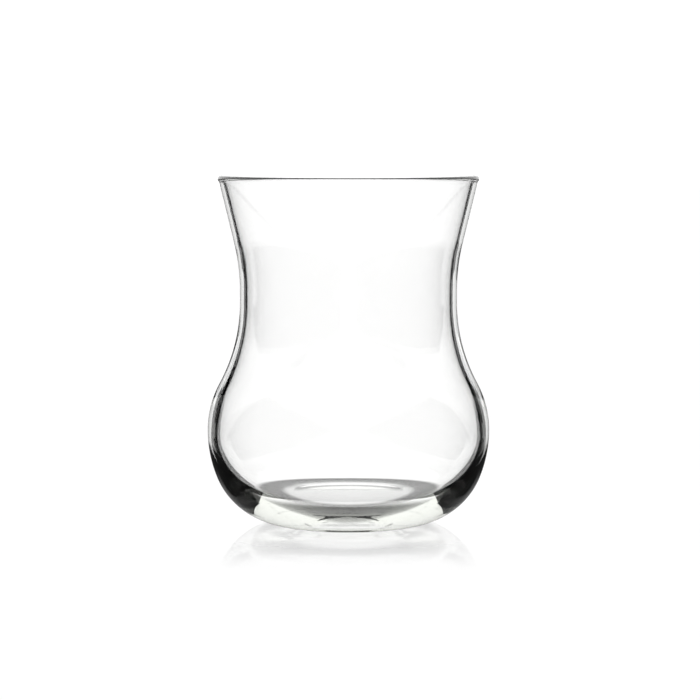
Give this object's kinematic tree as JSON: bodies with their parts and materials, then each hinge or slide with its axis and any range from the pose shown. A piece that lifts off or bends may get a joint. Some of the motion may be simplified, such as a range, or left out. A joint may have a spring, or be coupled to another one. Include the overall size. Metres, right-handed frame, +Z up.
{
  "type": "tea glass",
  "caption": "Short clear tea glass with a gently flared mouth, narrow waist, round belly and thick bottom.",
  "frame": {"origin": "centre of the foot, on the surface that the glass stands on", "axes": "+Z up along the glass's axis, out of its mouth; X and Y lie in the plane of the foot"},
  "size_m": [0.0649, 0.0648, 0.08],
  "materials": {
    "glass": "clear soda-lime glass, fire-polished, glossy all over"
  },
  "bodies": {
    "root": {"tea_glass": "glass"}
  },
  "joints": []
}
